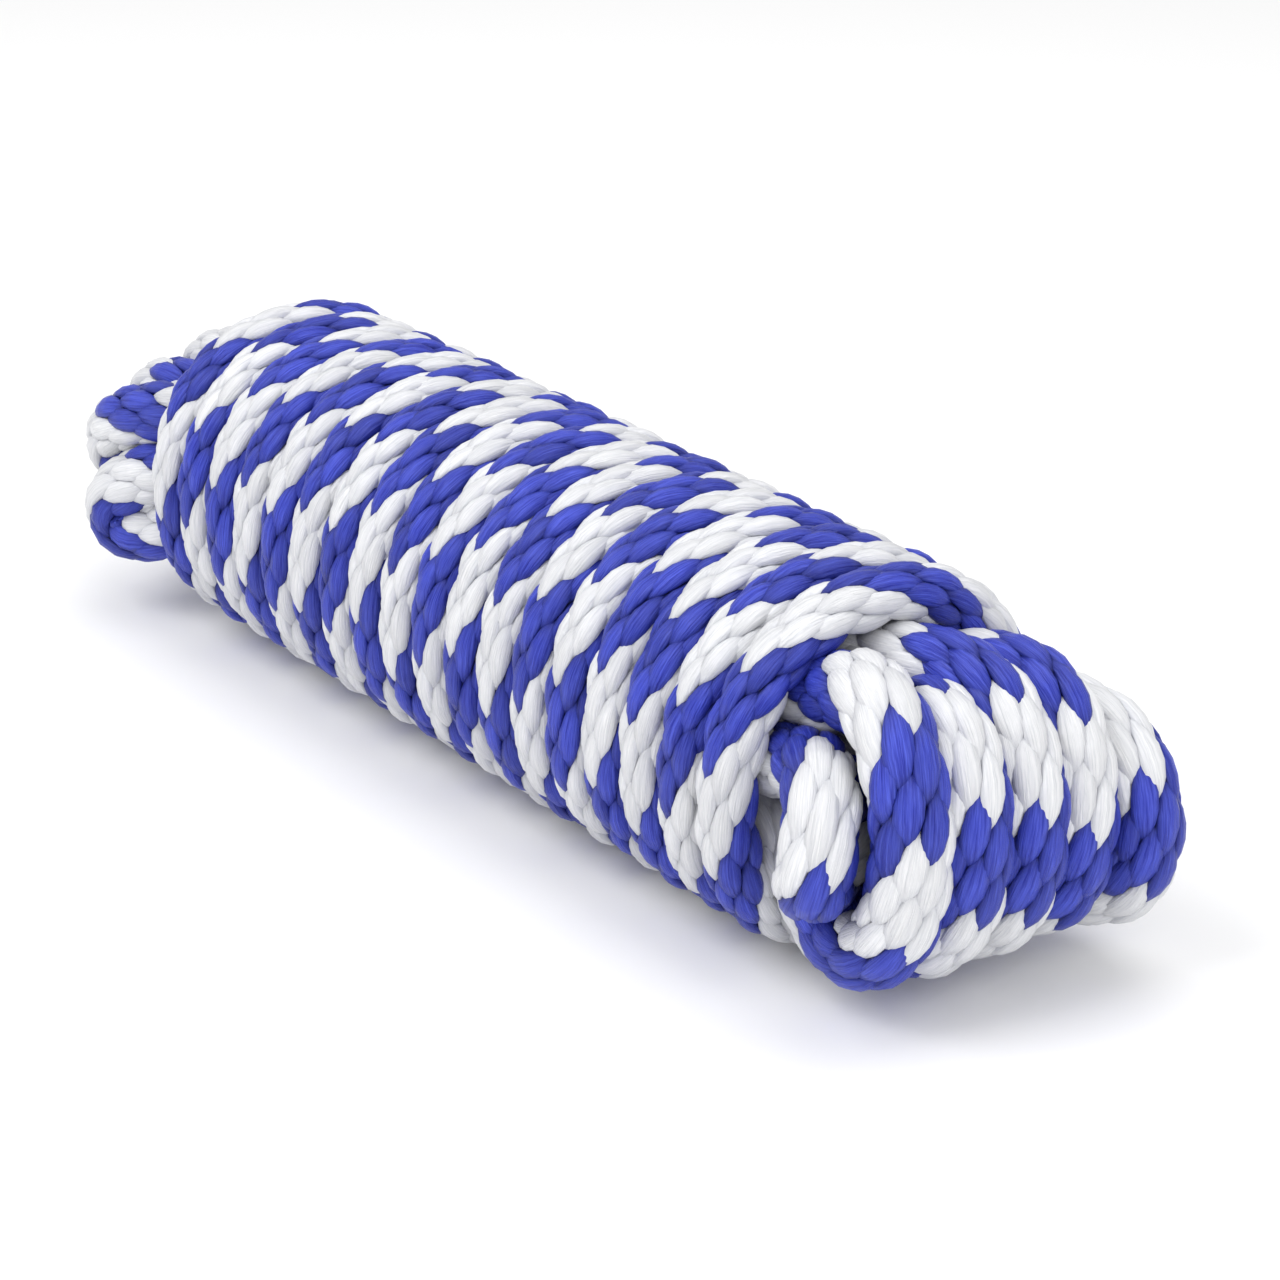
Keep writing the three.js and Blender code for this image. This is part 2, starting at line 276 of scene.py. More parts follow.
def make_route():
    """Every stretch of the rope in order, in lays: (name, points)."""
    free = []
    for i, shape in enumerate(FRONT):
        lip = LAST_TOP_LIP if i == len(FRONT) - 1 else TOP_LIP
        free.append(catmull(ahead(loop_guide(TOP[i], LOW[i], shape, lip, LOW_LIP))))
    for i, shape in enumerate(REAR):
        free.append(catmull(behind(loop_guide(TOP[i], LOW[i + 1], shape, REAR_TOP_LIP, REAR_LOW_LIP))))
    y, z, _ = TOP[-1]
    lead = behind([(-1.2, y, z), (-0.4, y, z)] + sized(LEAD))
    free.append(catmull(lead + [wound_point(START - 0.08), wound_point(START)]))
    free.append(catmull([wound_point(END), wound_point(END + 0.03)] + ahead(sized(TAIL))))
    settled = [ease(p) for p in settle(free)]
    fronts, rears = settled[:len(FRONT)], settled[len(FRONT):-2]
    y, z, _ = LOW[0]
    out = [("start", np.array([(X_REAR - 0.15, y, z), (X_REAR + STUB, y, z)]))]
    for i, (top, low) in enumerate(zip(TOP, LOW)):
        out.append((f"low_run_{i + 1}", run_line(low, X_REAR + STUB, X_FRONT - STUB)))
        out.append((f"front_{i + 1}", fronts[i][::-1]))
        out.append((f"top_run_{i + 1}", run_line(top, X_FRONT - STUB, X_REAR + STUB)))
        if i < len(rears):
            out.append((f"rear_{i + 1}", rears[i]))
    out.append(("lead", settled[-2]))
    turns = np.arange(START, END + 1e-9, 1 / (4 * STEPS))
    out.append(("winding", np.array([wound_point(t) for t in turns])))
    out.append(("tail", settled[-1]))
    return out


# ---- where the route lies in the frame: it is set out from the middle of one turn
turn_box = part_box("wrap_turn_10")
TURN_MIDDLE = 9.25          # of that turn, in turns from the winding's beginning
LAY = LAY_MM / 1000
ORIGIN = np.array([(turn_box[0][k] + turn_box[1][k]) / 2 for k in range(3)])
ORIGIN[0] -= (X_REAR + TURN_MIDDLE) * LAY


def place(p):
    """Lays on the route to metres in the frame."""
    return np.asarray(p) * LAY + ORIGIN


# ---- small helpers for meshes and node trees
def link(tree, out, into):
    tree.links.new(out, into)


def node(tree, kind, **settings):
    n = tree.nodes.new(kind)
    for key, value in settings.items():
        setattr(n, key, value)
    return n


def feed(tree, value, slot):
    """Puts a plain value or another node's output into a socket."""
    if isinstance(value, (int, float, tuple)):
        slot.default_value = value
    elif value is not None:
        link(tree, value, slot)


def math_node(tree, operation, a, b=None):
    n = node(tree, "ShaderNodeMath", operation=operation)
    feed(tree, a, n.inputs[0])
    feed(tree, b, n.inputs[1])
    return n.outputs[0]


def vector_node(tree, operation, a, b=None, scale=None):
    n = node(tree, "ShaderNodeVectorMath", operation=operation)
    feed(tree, a, n.inputs[0])
    feed(tree, b, n.inputs[1])
    if scale is not None:
        feed(tree, scale, n.inputs["Scale"])
    return n.outputs[0]


def combine(tree, x, y, z):
    n = node(tree, "ShaderNodeCombineXYZ")
    for slot, value in zip(n.inputs, (x, y, z)):
        feed(tree, value, slot)
    return n.outputs[0]


def separate(tree, vector):
    n = node(tree, "ShaderNodeSeparateXYZ")
    link(tree, vector, n.inputs[0])
    return n.outputs[0], n.outputs[1], n.outputs[2]


def mix_colour(tree, factor, a, b):
    """A and B are colours of three values or other nodes' outputs; the factor is a node's output."""
    n = node(tree, "ShaderNodeMix", data_type="RGBA")
    for value, slot in ((factor, n.inputs[0]), (a, n.inputs[6]), (b, n.inputs[7])):
        feed(tree, (*value, 1) if isinstance(value, tuple) else value, slot)
    return n.outputs[2]


def keep_vector(tree, geometry, name, value):
    """Stores a vector on the points of a geometry."""
    n = node(tree, "GeometryNodeStoreNamedAttribute", data_type="FLOAT_VECTOR", domain="POINT")
    n.inputs["Name"].default_value = name
    link(tree, geometry, n.inputs["Geometry"])
    link(tree, value, n.inputs["Value"])
    return n.outputs[0]


def kept_vector(tree, name):
    n = node(tree, "GeometryNodeInputNamedAttribute", data_type="FLOAT_VECTOR")
    n.inputs["Name"].default_value = name
    return n.outputs[0]


def new_material(name, roughness):
    """A material with its node tree and its shader."""
    m = bpy.data.materials.new(name)
    m.use_nodes = True
    shader = next(n for n in m.node_tree.nodes if n.type == "BSDF_PRINCIPLED")
    shader.inputs["Roughness"].default_value = roughness
    return m, m.node_tree, shader


def add_object(name, data):
    obj = bpy.data.objects.new(name, data)
    bpy.context.scene.collection.objects.link(obj)
    return obj


# ---- the braid
WALES = 9                   # columns of stitches round the rope
CROWN_R = 0.00500           # from the rope's middle to the top of a stitch, in metres
STITCH_DEPTH = 0.00118      # half the thickness of one stitch, in metres
OVERLAP = 1.42              # a stitch's length over the spacing of the stitches
BREADTH = 1.36              # a stitch's width over the spacing of the wales
SLANT = 0.33                # how far a stitch leans across its wale
STITCH = 0.80               # spacing of the stitches along a wale, in lays
PERIOD = 4                  # stitches in a band: two blue, then two white
FIRST_WHITE = 2.2           # stitch count where a white stretch begins to show
POINTS_PER_STITCH = 6       # on the line that a stretch's stitches are laid along
TIP_DIP = 0.0010            # how far a stitch's tips sink under its neighbours, in metres
UNEVENNESS = 0.05           # how far a stitch strays from its place, in stitches
SEED = 3
IDS_PER_ROW = 16            # so that no two stitches share a random number


def frames_along(p, out0, at):
    """Tangents and a twist-free outward direction along p, equal to out0 at index at."""
    t = np.gradient(p, axis=0)
    t /= np.linalg.norm(t, axis=1)[:, None]
    out = np.zeros_like(p)
    out[at] = out0 - t[at] * (out0 @ t[at])
    out[at] /= np.linalg.norm(out[at])
    for seq in (range(at + 1, len(p)), range(at - 1, -1, -1)):
        prev = at
        for i in seq:
            v = out[prev] - t[i] * (out[prev] @ t[i])
            out[i] = v / np.linalg.norm(v)
            prev = i
    return t, out


def stitch_line(name, p, q, t, out):
    """A plain line of points, evenly spaced in stitches from q[0] to q[-1], that carries its own directions."""
    first, last = math.ceil(q[0] * POINTS_PER_STITCH), math.floor(q[-1] * POINTS_PER_STITCH)
    counts = np.arange(first, last + 1) / POINTS_PER_STITCH
    points, along, outward = (np.stack([np.interp(counts, q, a[:, k]) for k in range(3)], 1) for a in (p, t, out))
    along /= np.linalg.norm(along, axis=1)[:, None]
    outward -= along * (outward * along).sum(1)[:, None]
    outward /= np.linalg.norm(outward, axis=1)[:, None]
    mesh = bpy.data.meshes.new(name)
    mesh.from_pydata([tuple(v) for v in place(points)], [(i, i + 1) for i in range(len(points) - 1)], [])
    for label, value in (("out", outward), ("side", np.cross(along, outward))):
        layer = mesh.attributes.new(label, "FLOAT_VECTOR", "POINT")
        layer.data.foreach_set("vector", value.astype(np.float32).ravel())
    return add_object(name, mesh), counts[0]


# ---- geometry nodes: the braid's stitches
def stitch_points(tree, given):
    """One point for each stitch of one colour: x counts stitches along the rope, y counts wales round it."""
    calc = partial(math_node, tree)
    index = node(tree, "GeometryNodeInputIndex").outputs[0]
    wale = calc("ADD", calc("FLOORED_MODULO", index, given["Wales Made"]), given["First Wale"])
    row = calc("ADD", calc("FLOOR", calc("DIVIDE", index, given["Wales Made"])), given["First Row"])
    # neighbouring wales are a third of a stitch apart
    along = calc("ADD", row, calc("FRACT", calc("MULTIPLY", wale, 2 / 3)))
    points = node(tree, "GeometryNodePoints")
    link(tree, calc("MULTIPLY", given["Rows"], given["Wales Made"]), points.inputs["Count"])
    link(tree, combine(tree, along, wale, 0.0), points.inputs["Position"])
    # a turn round the rope shifts the colours by a whole period, which makes the bands slant and close
    shift = calc("DIVIDE", calc("MULTIPLY", wale, float(PERIOD)), given["Wales"])
    count = calc("ADD", calc("SUBTRACT", along, shift), 0.01)
    period = calc("MULTIPLY", given["Run"], 2.0)
    colour = calc("LESS_THAN", calc("FLOORED_MODULO", count, period), given["Run"])
    unwanted = node(tree, "FunctionNodeCompare", data_type="INT", operation="EQUAL")
    link(tree, colour, unwanted.inputs[2])
    link(tree, given["Left Out"], unwanted.inputs[3])
    chance = node(tree, "FunctionNodeRandomValue", data_type="FLOAT_VECTOR")
    chance.inputs[0].default_value = (-1, -1, -1)
    chance.inputs[1].default_value = (1, 1, 1)
    link(tree, calc("ADD", calc("MULTIPLY", row, float(IDS_PER_ROW)), wale), chance.inputs["ID"])
    link(tree, given["Seed"], chance.inputs["Seed"])
    drop = node(tree, "GeometryNodeDeleteGeometry", domain="POINT")
    link(tree, keep_vector(tree, points.outputs[0], "chance", chance.outputs[0]), drop.inputs["Geometry"])
    link(tree, unwanted.outputs[0], drop.inputs["Selection"])
    return drop.outputs[0]


def stitch_leaf(tree, given):
    """One stitch: a closed leaf, pointed at both ends, in counts along and across and metres outwards."""
    calc = partial(math_node, tree)
    ball = node(tree, "GeometryNodeMeshUVSphere")
    ball.inputs["Segments"].default_value = 12
    ball.inputs["Rings"].default_value = 9
    ball.inputs["Radius"].default_value = 1.0
    across, up, along = separate(tree, node(tree, "GeometryNodeInputPosition").outputs[0])
    kept = keep_vector(tree, ball.outputs["Mesh"], "leaf", combine(tree, along, across, up))
    along2 = calc("MULTIPLY", along, along)
    taper = calc("POWER", calc("MAXIMUM", calc("SUBTRACT", 1.0, along2), 0.0), 0.32)
    length = calc("MULTIPLY", along, calc("MULTIPLY", given["Overlap"], 0.5))
    width = calc("MULTIPLY", calc("MULTIPLY", across, taper), calc("MULTIPLY", given["Breadth"], 0.5))
    leaning = calc("ADD", width, calc("MULTIPLY", along, given["Slant"]))
    blunt = calc("MULTIPLY", calc("SIGN", up), calc("POWER", calc("ABSOLUTE", up), 0.65))
    dip = calc("MULTIPLY", along2, given["Tip Dip"])
    height = calc("SUBTRACT", calc("MULTIPLY", blunt, given["Stitch Depth"]), dip)
    shape = node(tree, "GeometryNodeSetPosition")
    link(tree, kept, shape.inputs["Geometry"])
    link(tree, combine(tree, length, leaning, height), shape.inputs["Position"])
    return shape.outputs[0]


def lay_round_rope(tree, given, field):
    """Bends the flat field of stitches round the line that the tree runs on."""
    calc = partial(math_node, tree)
    x, y, z = separate(tree, node(tree, "GeometryNodeInputPosition").outputs[0])
    c0, c1, c2 = separate(tree, kept_vector(tree, "chance"))
    leaf_along = separate(tree, kept_vector(tree, "leaf"))[0]
    uneven = given["Unevenness"]
    count = calc("ADD", x, calc("MULTIPLY", c0, uneven))
    skew = calc("MULTIPLY", calc("MULTIPLY", c2, leaf_along), calc("MULTIPLY", uneven, 1.2))
    wale = calc("ADD", y, calc("ADD", calc("MULTIPLY", c1, uneven), skew))
    turn = calc("MULTIPLY", calc("DIVIDE", wale, given["Wales"]), 2 * math.pi)
    # the line's position and directions, between its two nearest points
    spot = calc("MULTIPLY", calc("SUBTRACT", count, given["Line Start"]), float(POINTS_PER_STITCH))
    low = calc("FLOOR", spot)
    part = calc("SUBTRACT", spot, low)
    high = calc("ADD", low, 1.0)

    def sampled(value):
        between = node(tree, "ShaderNodeMix", data_type="VECTOR", clamp_factor=False)
        link(tree, part, between.inputs[0])
        for where, slot in ((low, between.inputs[4]), (high, between.inputs[5])):
            sample = node(tree, "GeometryNodeSampleIndex", data_type="FLOAT_VECTOR", domain="POINT", clamp=True)
            link(tree, given["Geometry"], sample.inputs["Geometry"])
            link(tree, value, sample.inputs["Value"])
            link(tree, where, sample.inputs["Index"])
            link(tree, sample.outputs[0], slot)
        return between.outputs[1]

    centre = sampled(node(tree, "GeometryNodeInputPosition").outputs[0])
    out = vector_node(tree, "SCALE", sampled(kept_vector(tree, "out")), scale=calc("COSINE", turn))
    side = vector_node(tree, "SCALE", sampled(kept_vector(tree, "side")), scale=calc("SINE", turn))
    loft = calc("MULTIPLY", c1, calc("MULTIPLY", given["Stitch Depth"], 0.12))
    radius = calc("ADD", calc("SUBTRACT", given["Crown Radius"], given["Stitch Depth"]), calc("ADD", z, loft))
    ray = vector_node(tree, "SCALE", vector_node(tree, "ADD", out, side), scale=radius)
    wrap = node(tree, "GeometryNodeSetPosition")
    link(tree, field, wrap.inputs["Geometry"])
    link(tree, vector_node(tree, "ADD", centre, ray), wrap.inputs["Position"])
    return wrap.outputs[0]


def braid_tree():
    tree = bpy.data.node_groups.new("Braid Stitches", "GeometryNodeTree")
    face = tree.interface
    face.new_socket("Geometry", in_out="INPUT", socket_type="NodeSocketGeometry")
    face.new_socket("Geometry", in_out="OUTPUT", socket_type="NodeSocketGeometry")
    for label, value in (
            ("First Row", 0), ("Rows", 10), ("Line Start", 0.0), ("Wales", WALES), ("First Wale", 0),
            ("Wales Made", WALES), ("Crown Radius", CROWN_R), ("Stitch Depth", STITCH_DEPTH), ("Overlap", OVERLAP),
            ("Breadth", BREADTH), ("Slant", SLANT), ("Tip Dip", TIP_DIP), ("Left Out", 0), ("Run", PERIOD // 2),
            ("Seed", SEED), ("Unevenness", UNEVENNESS)):
        kind = "NodeSocketInt" if isinstance(value, int) else "NodeSocketFloat"
        face.new_socket(label, in_out="INPUT", socket_type=kind).default_value = value
    face.new_socket("Material", in_out="INPUT", socket_type="NodeSocketMaterial")
    given = node(tree, "NodeGroupInput").outputs
    scatter = node(tree, "GeometryNodeInstanceOnPoints")
    link(tree, stitch_points(tree, given), scatter.inputs["Points"])
    link(tree, stitch_leaf(tree, given), scatter.inputs["Instance"])
    real = node(tree, "GeometryNodeRealizeInstances")
    link(tree, scatter.outputs[0], real.inputs[0])
    smooth = node(tree, "GeometryNodeSetShadeSmooth")
    link(tree, lay_round_rope(tree, given, real.outputs[0]), smooth.inputs["Geometry"])
    paint = node(tree, "GeometryNodeSetMaterial")
    link(tree, smooth.outputs[0], paint.inputs["Geometry"])
    link(tree, given["Material"], paint.inputs["Material"])
    link(tree, paint.outputs[0], node(tree, "NodeGroupOutput").inputs[0])
    return tree


def grow(line, tree, name, values):
    """Runs a tree on a line and returns the result as a plain mesh object."""
    mod = line.modifiers.new("Grow", "NODES")
    mod.node_group = tree
    sockets = {i.name: i.identifier for i in tree.interface.items_tree
               if i.item_type == "SOCKET" and i.in_out == "INPUT"}
    for label, value in values.items():
        mod[sockets[label]] = value
    bpy.context.view_layer.update()
    evaluated = line.evaluated_get(bpy.context.evaluated_depsgraph_get())
    mesh = bpy.data.meshes.new_from_object(evaluated)
    line.modifiers.remove(mod)
    mesh.name = name
    return mesh


def join(name, meshes, material):
    """One mesh object from several plain meshes that share their attributes."""
    parts = [add_object(f"{name}_{i}", m) for i, m in enumerate(meshes) if len(m.vertices)]
    with bpy.context.temp_override(active_object=parts[0], object=parts[0], selected_objects=parts,
                                   selected_editable_objects=parts):
        if len(parts) > 1:
            bpy.ops.object.join()
    obj = parts[0]
    obj.name = name
    obj.data.name = name
    obj.data.materials.clear()
    obj.data.materials.append(material)
    return obj


# ---- materials
# the first colour of each finish is painted shade, laid into the creases between stitches and at their tips; crease
# is how strongly it is laid in
BLUE_FINISH = {"painted_crease_shade": (0.001, 0.002, 0.025), "bright": (0.070, 0.100, 0.60), "roughness": 0.38, "sheen": 0.0,
               "variation": 0.20, "crease": 1.0, "shine": 0.34}
WHITE_FINISH = {"painted_crease_shade": (0.46, 0.48, 0.55), "bright": (0.82, 0.82, 0.83), "roughness": 0.36, "sheen": 0.05,
                "variation": 0.06, "crease": 0.5, "shine": 0.45}
# the body's colours are the blue and the white of the bands, darkened as painted shade for the gaps between stitches
BODY_BLUE_SHADED, BODY_WHITE_SHADED, BODY_ROUGHNESS = (0.012, 0.016, 0.10), (0.34, 0.35, 0.42), 0.7
MELT, MELT_ROUGHNESS = (0.45, 0.47, 0.56), 0.35


def fibre_group():
    """Fine filaments along a stitch, and a mask of painted shade for the creases between stitches."""
    tree = bpy.data.node_groups.new("Twisted Filaments", "ShaderNodeTree")
    face = tree.interface
    for label, value in (("Filaments", 5.5), ("Crease", 0.75), ("Variation", 0.12)):
        face.new_socket(label, in_out="INPUT", socket_type="NodeSocketFloat").default_value = value
    for label in ("Streak", "Painted Shade Mask", "Stitch Tint", "Height"):
        face.new_socket(label, in_out="OUTPUT", socket_type="NodeSocketFloat")
    given, made = node(tree, "NodeGroupInput").outputs, node(tree, "NodeGroupOutput").inputs
    calc = partial(math_node, tree)
    along, across, up = separate(tree, node(tree, "ShaderNodeAttribute", attribute_name="leaf").outputs["Vector"])
    c0, c1, c2 = separate(tree, node(tree, "ShaderNodeAttribute", attribute_name="chance").outputs["Vector"])
    # filaments run along the stitch and lean a little across it
    lean = calc("ADD", calc("ADD", calc("MULTIPLY", across, 1.5), calc("MULTIPLY", up, 0.35)),
                calc("MULTIPLY", along, 0.30))
    layers = []
    for scale, run in ((1.0, 0.9), (3.2, 1.6)):
        noise = node(tree, "ShaderNodeTexNoise", noise_dimensions="3D")
        noise.inputs["Detail"].default_value = 2.0
        noise.inputs["Roughness"].default_value = 0.6
        noise.inputs["Scale"].default_value = 1.0
        wide = calc("MULTIPLY", lean, calc("MULTIPLY", given["Filaments"], scale))
        where = combine(tree, calc("MULTIPLY", along, run), wide, calc("MULTIPLY", c0, 37.0))
        link(tree, where, noise.inputs["Vector"])
        layers.append(noise.outputs[0])
    streak = calc("ADD", calc("MULTIPLY", layers[0], 0.55), calc("MULTIPLY", layers[1], 0.45))
    link(tree, streak, made["Streak"])
    link(tree, streak, made["Height"])
    # painted shade: the sides of a stitch, where it sinks under its neighbours, and its tips are darkened; the crown
    # stays clear
    crown = calc("POWER", calc("MAXIMUM", up, 0.0), 0.5)
    ends = calc("POWER", calc("ABSOLUTE", along), 5.0)
    shaded_edges = calc("SUBTRACT", 1.0, calc("MULTIPLY", crown, calc("SUBTRACT", 1.0, ends)))
    link(tree, calc("MULTIPLY", shaded_edges, given["Crease"]), made["Painted Shade Mask"])
    link(tree, calc("ADD", 1.0, calc("MULTIPLY", c2, given["Variation"])), made["Stitch Tint"])
    return tree


def fibre_material(name, base, group, painted_crease_shade, bright, roughness, sheen, variation, crease, shine):
    """Strands that are bright along their filaments, with painted shade laid over them in the creases."""
    m, tree, shader = new_material(name, roughness)
    fibres = node(tree, "ShaderNodeGroup", node_tree=group)
    fibres.inputs["Variation"].default_value = variation
    fibres.inputs["Crease"].default_value = crease
    ramp = node(tree, "ShaderNodeMapRange")
    ramp.inputs["From Min"].default_value = 0.33
    ramp.inputs["From Max"].default_value = 0.67
    link(tree, fibres.outputs["Streak"], ramp.inputs["Value"])
    tint = node(tree, "ShaderNodeVectorMath", operation="SCALE")
    link(tree, mix_colour(tree, ramp.outputs[0], base, bright), tint.inputs[0])
    link(tree, fibres.outputs["Stitch Tint"], tint.inputs["Scale"])
    # painted shade: the crease mask mixes the stitch's colour towards the dark crease colour
    link(tree, mix_colour(tree, fibres.outputs["Painted Shade Mask"], tint.outputs[0], painted_crease_shade), shader.inputs["Base Color"])
    bump = node(tree, "ShaderNodeBump")
    bump.inputs["Strength"].default_value = 0.9
    bump.inputs["Distance"].default_value = 0.00032
    link(tree, fibres.outputs["Height"], bump.inputs["Height"])
    link(tree, bump.outputs[0], shader.inputs["Normal"])
    shader.inputs["Sheen Weight"].default_value = sheen
    shader.inputs["Sheen Roughness"].default_value = 0.4
    shader.inputs["Specular IOR Level"].default_value = shine
    return m


def grained_colour(tree, colour):
    """A colour that varies finely, from a little darker to a little lighter."""
    noise = node(tree, "ShaderNodeTexNoise")
    link(tree, node(tree, "ShaderNodeTexCoord").outputs["Object"], noise.inputs["Vector"])
    noise.inputs["Scale"].default_value = 900.0
    noise.inputs["Detail"].default_value = 2.0
    return mix_colour(tree, noise.outputs[0], tuple(c * 0.85 for c in colour), tuple(min(1, c * 1.1) for c in colour))


def melted_material():
    m, tree, shader = new_material("melted_end", MELT_ROUGHNESS)
    link(tree, grained_colour(tree, MELT), shader.inputs["Base Color"])
    return m


def body_material():
    """The body between the stitches, its band colour darkened as painted shade: dark under blue ones and pale under
    white ones.
    """
    m, tree, shader = new_material("rope_body_shaded", BODY_ROUGHNESS)
    shade = node(tree, "ShaderNodeAttribute", attribute_name="shade").outputs["Fac"]
    link(tree, mix_colour(tree, shade, grained_colour(tree, BODY_BLUE_SHADED), BODY_WHITE_SHADED), shader.inputs["Base Color"])
    return m


# ---- settings that a user would change
class DockLineSettings(bpy.types.PropertyGroup):
    """Sizes and colours of the braid"""
    wales: IntProperty(name="Wales", description="Columns of stitches round the rope", default=WALES, min=6,
                       max=16)
    crown: FloatProperty(name="Crown Radius", description="From the rope's middle to the top of a stitch",
                         default=CROWN_R, unit="LENGTH", precision=5)
    stitch_depth: FloatProperty(name="Stitch Depth", description="Half the thickness of one stitch",
                                default=STITCH_DEPTH, unit="LENGTH", precision=5)
    overlap: FloatProperty(name="Overlap", description="A stitch's length over the spacing of the stitches",
                           default=OVERLAP)
    breadth: FloatProperty(name="Breadth", description="A stitch's width over the spacing of the wales",
                           default=BREADTH)
    slant: FloatProperty(name="Slant", description="How far a stitch leans across its wale", default=SLANT)
    blue: FloatVectorProperty(name="Blue", description="Colour of the blue strands", subtype="COLOR",
                              default=(0.004, 0.009, 0.25))
    white: FloatVectorProperty(name="White", description="Colour of the white strands", subtype="COLOR",
                               default=(0.58, 0.59, 0.62))


# how far round each turn a white stretch begins, in turns from the bottom
WHITE_FROM = (0.258, 0.167, 0.317, 0.239, 0.319, 0.247, 0.333, 0.272, 0.233, 0.172, 0.286, 0.256, 0.181, 0.314,
              0.244, 0.222, 0.172, 0.214)
BAND_LENGTH = 3.25          # of a blue and a white stretch together round a turn, in lays
EVENED = 20                 # points on each side over which the stitch count is evened
SECTION_ENDS = (0.1, 3, 6, 9, 12, 15, END - 0.15)     # turns where the winding is cut into pieces
OUTER_WALES = (-3, 7)       # the first wale that faces out of the winding, and how many do
# stitches of shift in each loop's colours, near side first
FRONT_SHIFT = (-0.32, 1.13, -1.32, -1.22, -0.61, -1.61)
REAR_SHIFT = (0.9, 0.75, 1.5, -0.8, 0.0)
# how far a loop's rope is spread by its bend, near side first
FRONT_PLUMP = (1.22, 1.30, 1.19, 1.19, 1.19, 1.19)
REAR_PLUMP = (1.25, 1.25, 1.2, 1.2, 1.2)
TUCK_STEP, TUCK_POINTS = 0.1, 18                      # a loop's stitches run on this far into the winding
BODY_R, BODY_SIDES, BODY_STEP = 0.37, 10, 0.2         # the body under the stitches, in lays
# how far out and how wide a melted end is at each ring, in lays
MELT_PROFILE = [(-0.30, 0.36), (-0.27, 0.44), (-0.12, 0.475), (0.0, 0.47), (0.07, 0.43), (0.11, 0.34), (0.12, 0.18)]
MELT_SIDES = 24

# what the operators make for each other
MADE = {}


def radial(tangent):
    """Outwards from the hank's long axis, at right angles to the rope."""
    out = np.stack([0 * tangent[:, 0], -tangent[:, 2], tangent[:, 1]], 1)
    return out / np.linalg.norm(out, axis=1)[:, None]


def winding_line(lead, points, tail):
    """Stitch counts and directions along the lead-in, the winding and the tucked tail as one stretch."""
    per_turn = lengths(points)[-1] / (END - START)
    white_at, count_at = [], []
    q = FIRST_WHITE
    for k, w in enumerate(WHITE_FROM):
        if k:
            q += PERIOD * round((1 + w - WHITE_FROM[k - 1]) * per_turn / BAND_LENGTH)
        white_at.append(k + w)
        count_at.append(q)
    rate = per_turn / STITCH
    white_at = [white_at[0] - 1] + white_at + [white_at[-1] + 1]
    count_at = [count_at[0] - rate] + count_at + [count_at[-1] + rate]
    q = np.interp(np.linspace(START, END, len(points)), white_at, count_at)
    window = np.ones(2 * EVENED + 1) / (2 * EVENED + 1)
    q = np.convolve(np.pad(q, EVENED, mode="reflect", reflect_type="odd"), window, mode="valid")
    whole = np.vstack([lead[:-1], points, tail[1:]])
    before = q[0] + (lengths(lead)[:-1] - lengths(lead)[-1]) / STITCH
    after = q[-1] + lengths(tail)[1:] / STITCH
    tangent = np.gradient(whole, axis=0)
    tangent /= np.linalg.norm(tangent, axis=1)[:, None]
    out = radial(tangent)
    a, b = len(lead) - 1, len(lead) - 1 + len(points)
    out[:a + 1] = frames_along(whole[:a + 1], out[a], a)[1]
    out[b - 1:] = frames_along(whole[b - 1:], out[b - 1], 0)[1]
    return whole, np.r_[before, q, after], tangent, out, q


def loop_line(points, shift):
    """Stitch counts and directions along a loop, counted from its nose."""
    inward = -math.copysign(1.0, points[len(points) // 2, 0])
    hidden = np.arange(1, TUCK_POINTS + 1)[:, None] * np.array([[TUCK_STEP * inward, 0, 0]])
    points = np.vstack([(points[0] + hidden)[::-1], points, points[-1] + hidden])
    s = lengths(points)
    nose = int(np.argmax(np.abs(points[:, 0])))
    away = np.array([math.copysign(1.0, points[nose, 0]), 0, 0])
    t, out = frames_along(points, away, nose)
    q = (s - s[nose]) / STITCH + FIRST_WHITE + shift + 10 * PERIOD
    return points, q, t, out


def stitches(label, line, q0, first, rows, colour, wales=None, plump=1.0):
    """The mesh of one colour's stitches on a line: rows of them from the count first."""
    c = bpy.context.scene.dock_line
    first_wale, made = wales or (0, c.wales)
    return grow(line, MADE["tree"], label, {
        "First Row": first, "Rows": rows, "Line Start": float(q0), "Wales": c.wales, "First Wale": first_wale,
        "Wales Made": made, "Crown Radius": c.crown * plump, "Stitch Depth": c.stitch_depth, "Overlap": c.overlap,
        "Breadth": c.breadth, "Slant": c.slant, "Tip Dip": TIP_DIP, "Left Out": 0 if colour == "blue" else 1,
        "Run": PERIOD // 2, "Seed": SEED, "Unevenness": UNEVENNESS, "Material": MADE[colour]})


class DOCKLINE_OT_route(bpy.types.Operator):
    """Work out the rope's route and its materials"""
    bl_idname = "dockline.route"
    bl_label = "Rope Route"

    def execute(self, context):
        c = context.scene.dock_line
        MADE["route"] = make_route()
        MADE["tree"] = braid_tree()
        group = fibre_group()
        MADE["blue"] = fibre_material("blue_fibre", tuple(c.blue), group, **BLUE_FINISH)
        MADE["white"] = fibre_material("white_fibre", tuple(c.white), group, **WHITE_FINISH)
        MADE["core"] = body_material()
        MADE["melt"] = melted_material()
        return {"FINISHED"}


